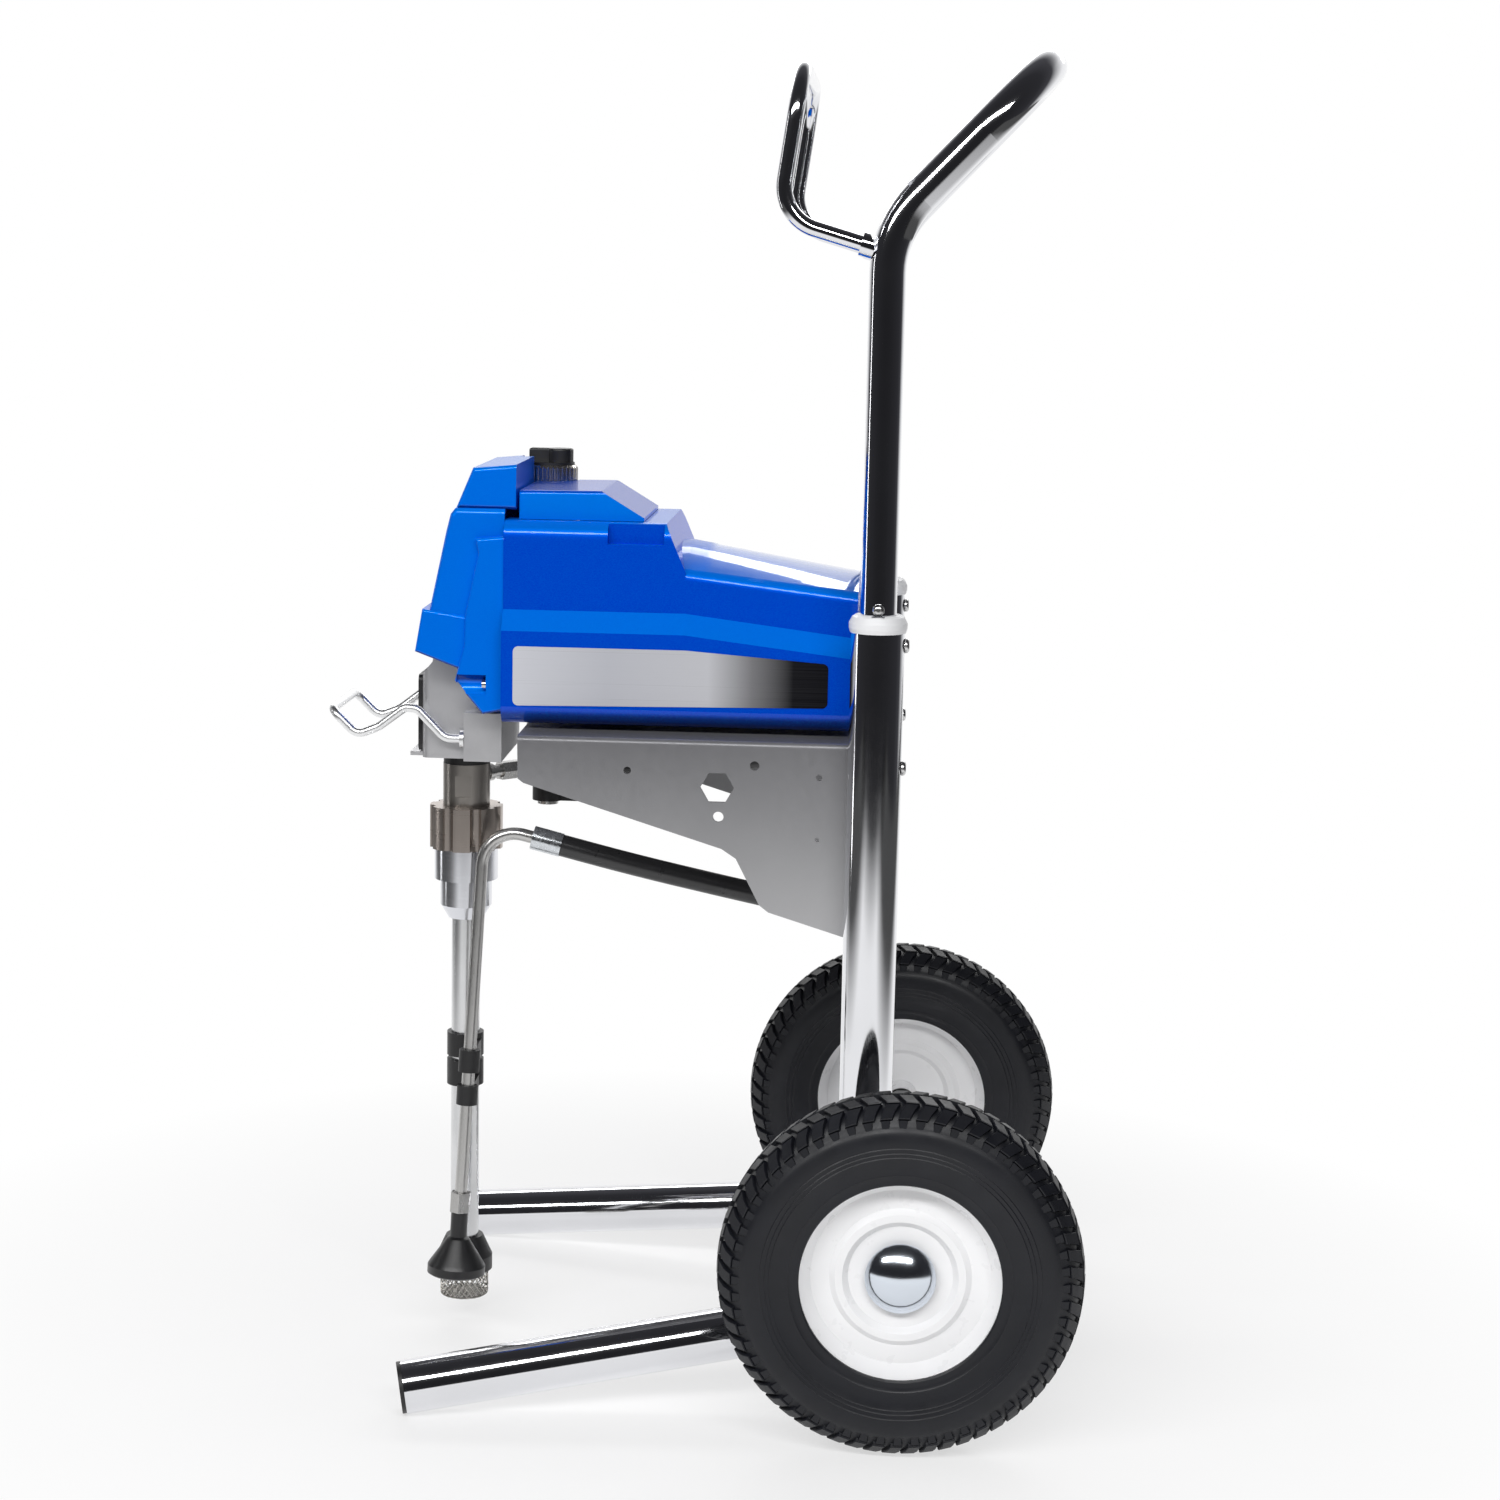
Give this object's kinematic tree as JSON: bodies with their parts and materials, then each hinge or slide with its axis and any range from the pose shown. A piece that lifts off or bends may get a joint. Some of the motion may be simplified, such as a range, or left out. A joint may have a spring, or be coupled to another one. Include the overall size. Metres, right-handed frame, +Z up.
{
  "type": "airless paint sprayer",
  "caption": "Cart-mounted electric airless paint sprayer: piston pump with suction tube and drain line, painted housing, telescoping handle, hose rack, pail hook and two wheels.",
  "frame": {"origin": "on the floor below the middle of the bounding box", "axes": "+X from the pump towards the wheels, +Y from the left (label) side to the right side, +Z up"},
  "size_m": [0.5597, 0.518, 0.9639],
  "materials": {
    "tube_chrome": "bright chrome plated tube",
    "wire_chrome": "bright plated wire",
    "cap_chrome": "bright zinc plated cap",
    "ring_chrome": "knurled chrome",
    "plain_steel": "machined",
    "screw_steel": "zinc plated",
    "zinc_steel": "zinc plated",
    "drain_steel": "drawn tube",
    "pump_steel": "machined hardened steel",
    "nut_steel": "plated, brown-grey",
    "intake_aluminium": "turned, bright",
    "tube_aluminium": "satin drawn tube",
    "cast_aluminium": "as cast",
    "bracket_plate": "satin grey",
    "shield_blue": "metallic blue gloss",
    "cover_blue": "metallic blue gloss",
    "deck_blue": "metallic blue gloss",
    "label": "silver film fading to black",
    "black_plastic": "matte black",
    "gloss_black": "gloss black",
    "white_plastic": "white nylon",
    "rim_white": "white gloss",
    "tyre": "matt black",
    "rubber": "black",
    "hose_rubber": "black hose",
    "mesh_steel": "woven wire"
  },
  "bodies": {
    "cart": {"left_side_tube": "tube_chrome", "right_side_tube": "tube_chrome", "leg_plugs": "black_plastic", "axle_brackets": "tube_chrome", "axle": "plain_steel", "hub_caps": "cap_chrome", "handle_sleeves": "white_plastic", "small_screws": "screw_steel", "bracket": "bracket_plate", "bracket_bolts": "screw_steel", "motor_shield": "shield_blue", "top_deck": "deck_blue", "front_cover": "cover_blue", "side_label": "label", "motor_can": "plain_steel", "motor_end_bell": "cast_aluminium", "gear_case": "cast_aluminium", "drive_housing": "cast_aluminium", "rod_shield": "black_plastic", "pail_hook": "wire_chrome", "pump_cylinder": "pump_steel", "pump_cuff": "rubber", "jam_nut": "nut_steel", "intake_housing": "intake_aluminium", "suction_tube": "tube_aluminium", "strainer_body": "black_plastic", "strainer_mesh": "mesh_steel", "drain_tube": "drain_steel", "deflector": "rubber", "tube_clips": "black_plastic", "hose_ferrules": "zinc_steel", "drain_hose": "hose_rubber", "outlet_nipple": "drain_steel", "filter_manifold": "cast_aluminium", "pump_filter": "mesh_steel", "outlet_fitting": "drain_steel", "prime_valve": "drain_steel", "control_box": "black_plastic"},
    "handle": {"handle_tube": "tube_chrome", "hose_rack": "tube_chrome", "snap_clips": "plain_steel"},
    "left_button": {"left_snap_button": "screw_steel"},
    "right_button": {"right_snap_button": "screw_steel"},
    "left_wheel": {"left_tyre": "tyre", "left_rim": "rim_white", "left_wheel_bushes": "black_plastic"},
    "right_wheel": {"right_tyre": "tyre", "right_rim": "rim_white", "right_wheel_bushes": "black_plastic"},
    "crank": {"crankshaft": "plain_steel"},
    "con_rod": {"connecting_rod": "plain_steel"},
    "lay_gear": {"combination_gear": "plain_steel"},
    "rotor": {"armature": "plain_steel", "cooling_fan": "black_plastic"},
    "piston": {"piston_rod": "pump_steel"},
    "filter_cap": {"filter_cap_ring": "ring_chrome", "filter_cap": "black_plastic"},
    "prime_lever": {"prime_lever": "black_plastic"},
    "pressure_knob": {"pressure_knob": "black_plastic"},
    "power_switch": {"power_switch": "gloss_black"}
  },
  "joints": [
    {"name": "handle_slide", "type": "slide", "parent": "cart", "child": "handle", "axis": [0, 0, 1], "range_m": [-0.235, 0]},
    {"name": "left_button_press", "type": "slide", "parent": "handle", "child": "left_button", "axis": [0, 1, 0], "range_m": [0, 0.004], "stiffness_N_per_m": 1500, "springref_m": -0.002},
    {"name": "right_button_press", "type": "slide", "parent": "handle", "child": "right_button", "axis": [0, -1, 0], "range_m": [0, 0.004], "stiffness_N_per_m": 1500, "springref_m": -0.002},
    {"name": "left_wheel_spin", "type": "hinge", "parent": "cart", "child": "left_wheel", "pos_m": [0.15285, -0.23, 0.127], "axis": [0, 1, 0], "continuous": true},
    {"name": "right_wheel_spin", "type": "hinge", "parent": "cart", "child": "right_wheel", "pos_m": [0.15285, 0.23, 0.127], "axis": [0, 1, 0], "continuous": true},
    {"name": "crank_spin", "type": "hinge", "parent": "cart", "child": "crank", "pos_m": [-0.14715, 0, 0.52525], "axis": [1, 0, 0], "continuous": true},
    {"name": "con_rod_swing", "type": "hinge", "parent": "crank", "child": "con_rod", "pos_m": [-0.18315, 0, 0.53525], "axis": [1, 0, 0], "continuous": true},
    {"name": "lay_gear_spin", "type": "hinge", "parent": "cart", "child": "lay_gear", "pos_m": [-0.12715, 0, 0.569], "axis": [1, 0, 0], "continuous": true},
    {"name": "rotor_spin", "type": "hinge", "parent": "cart", "child": "rotor", "pos_m": [-0.02715, 0, 0.533], "axis": [1, 0, 0], "continuous": true},
    {"name": "piston_stroke", "type": "slide", "parent": "cart", "child": "piston", "axis": [0, 0, 1], "range_m": [-0.02, 0]},
    {"name": "filter_cap_turn", "type": "hinge", "parent": "cart", "child": "filter_cap", "pos_m": [-0.12815, 0.058, 0.65], "axis": [0, 0, 1], "continuous": true},
    {"name": "prime_lever_turn", "type": "hinge", "parent": "cart", "child": "prime_lever", "pos_m": [-0.12815, 0.058, 0.405], "axis": [0, 0, 1], "range_deg": [0, 90]},
    {"name": "pressure_knob_turn", "type": "hinge", "parent": "cart", "child": "pressure_knob", "pos_m": [-0.00715, 0.10805, 0.515], "axis": [0, 1, 0], "range_deg": [0, 270]},
    {"name": "power_switch_rock", "type": "hinge", "parent": "cart", "child": "power_switch", "pos_m": [0.04885, 0.10605, 0.515], "axis": [0, 0, 1], "range_deg": [0, 16]}
  ],
  "couplings": [
    {"joint": "con_rod_swing", "follows": "crank_spin", "ratio": -1},
    {"joint": "lay_gear_spin", "follows": "crank_spin", "ratio": -4},
    {"joint": "rotor_spin", "follows": "crank_spin", "ratio": 20}
  ]
}
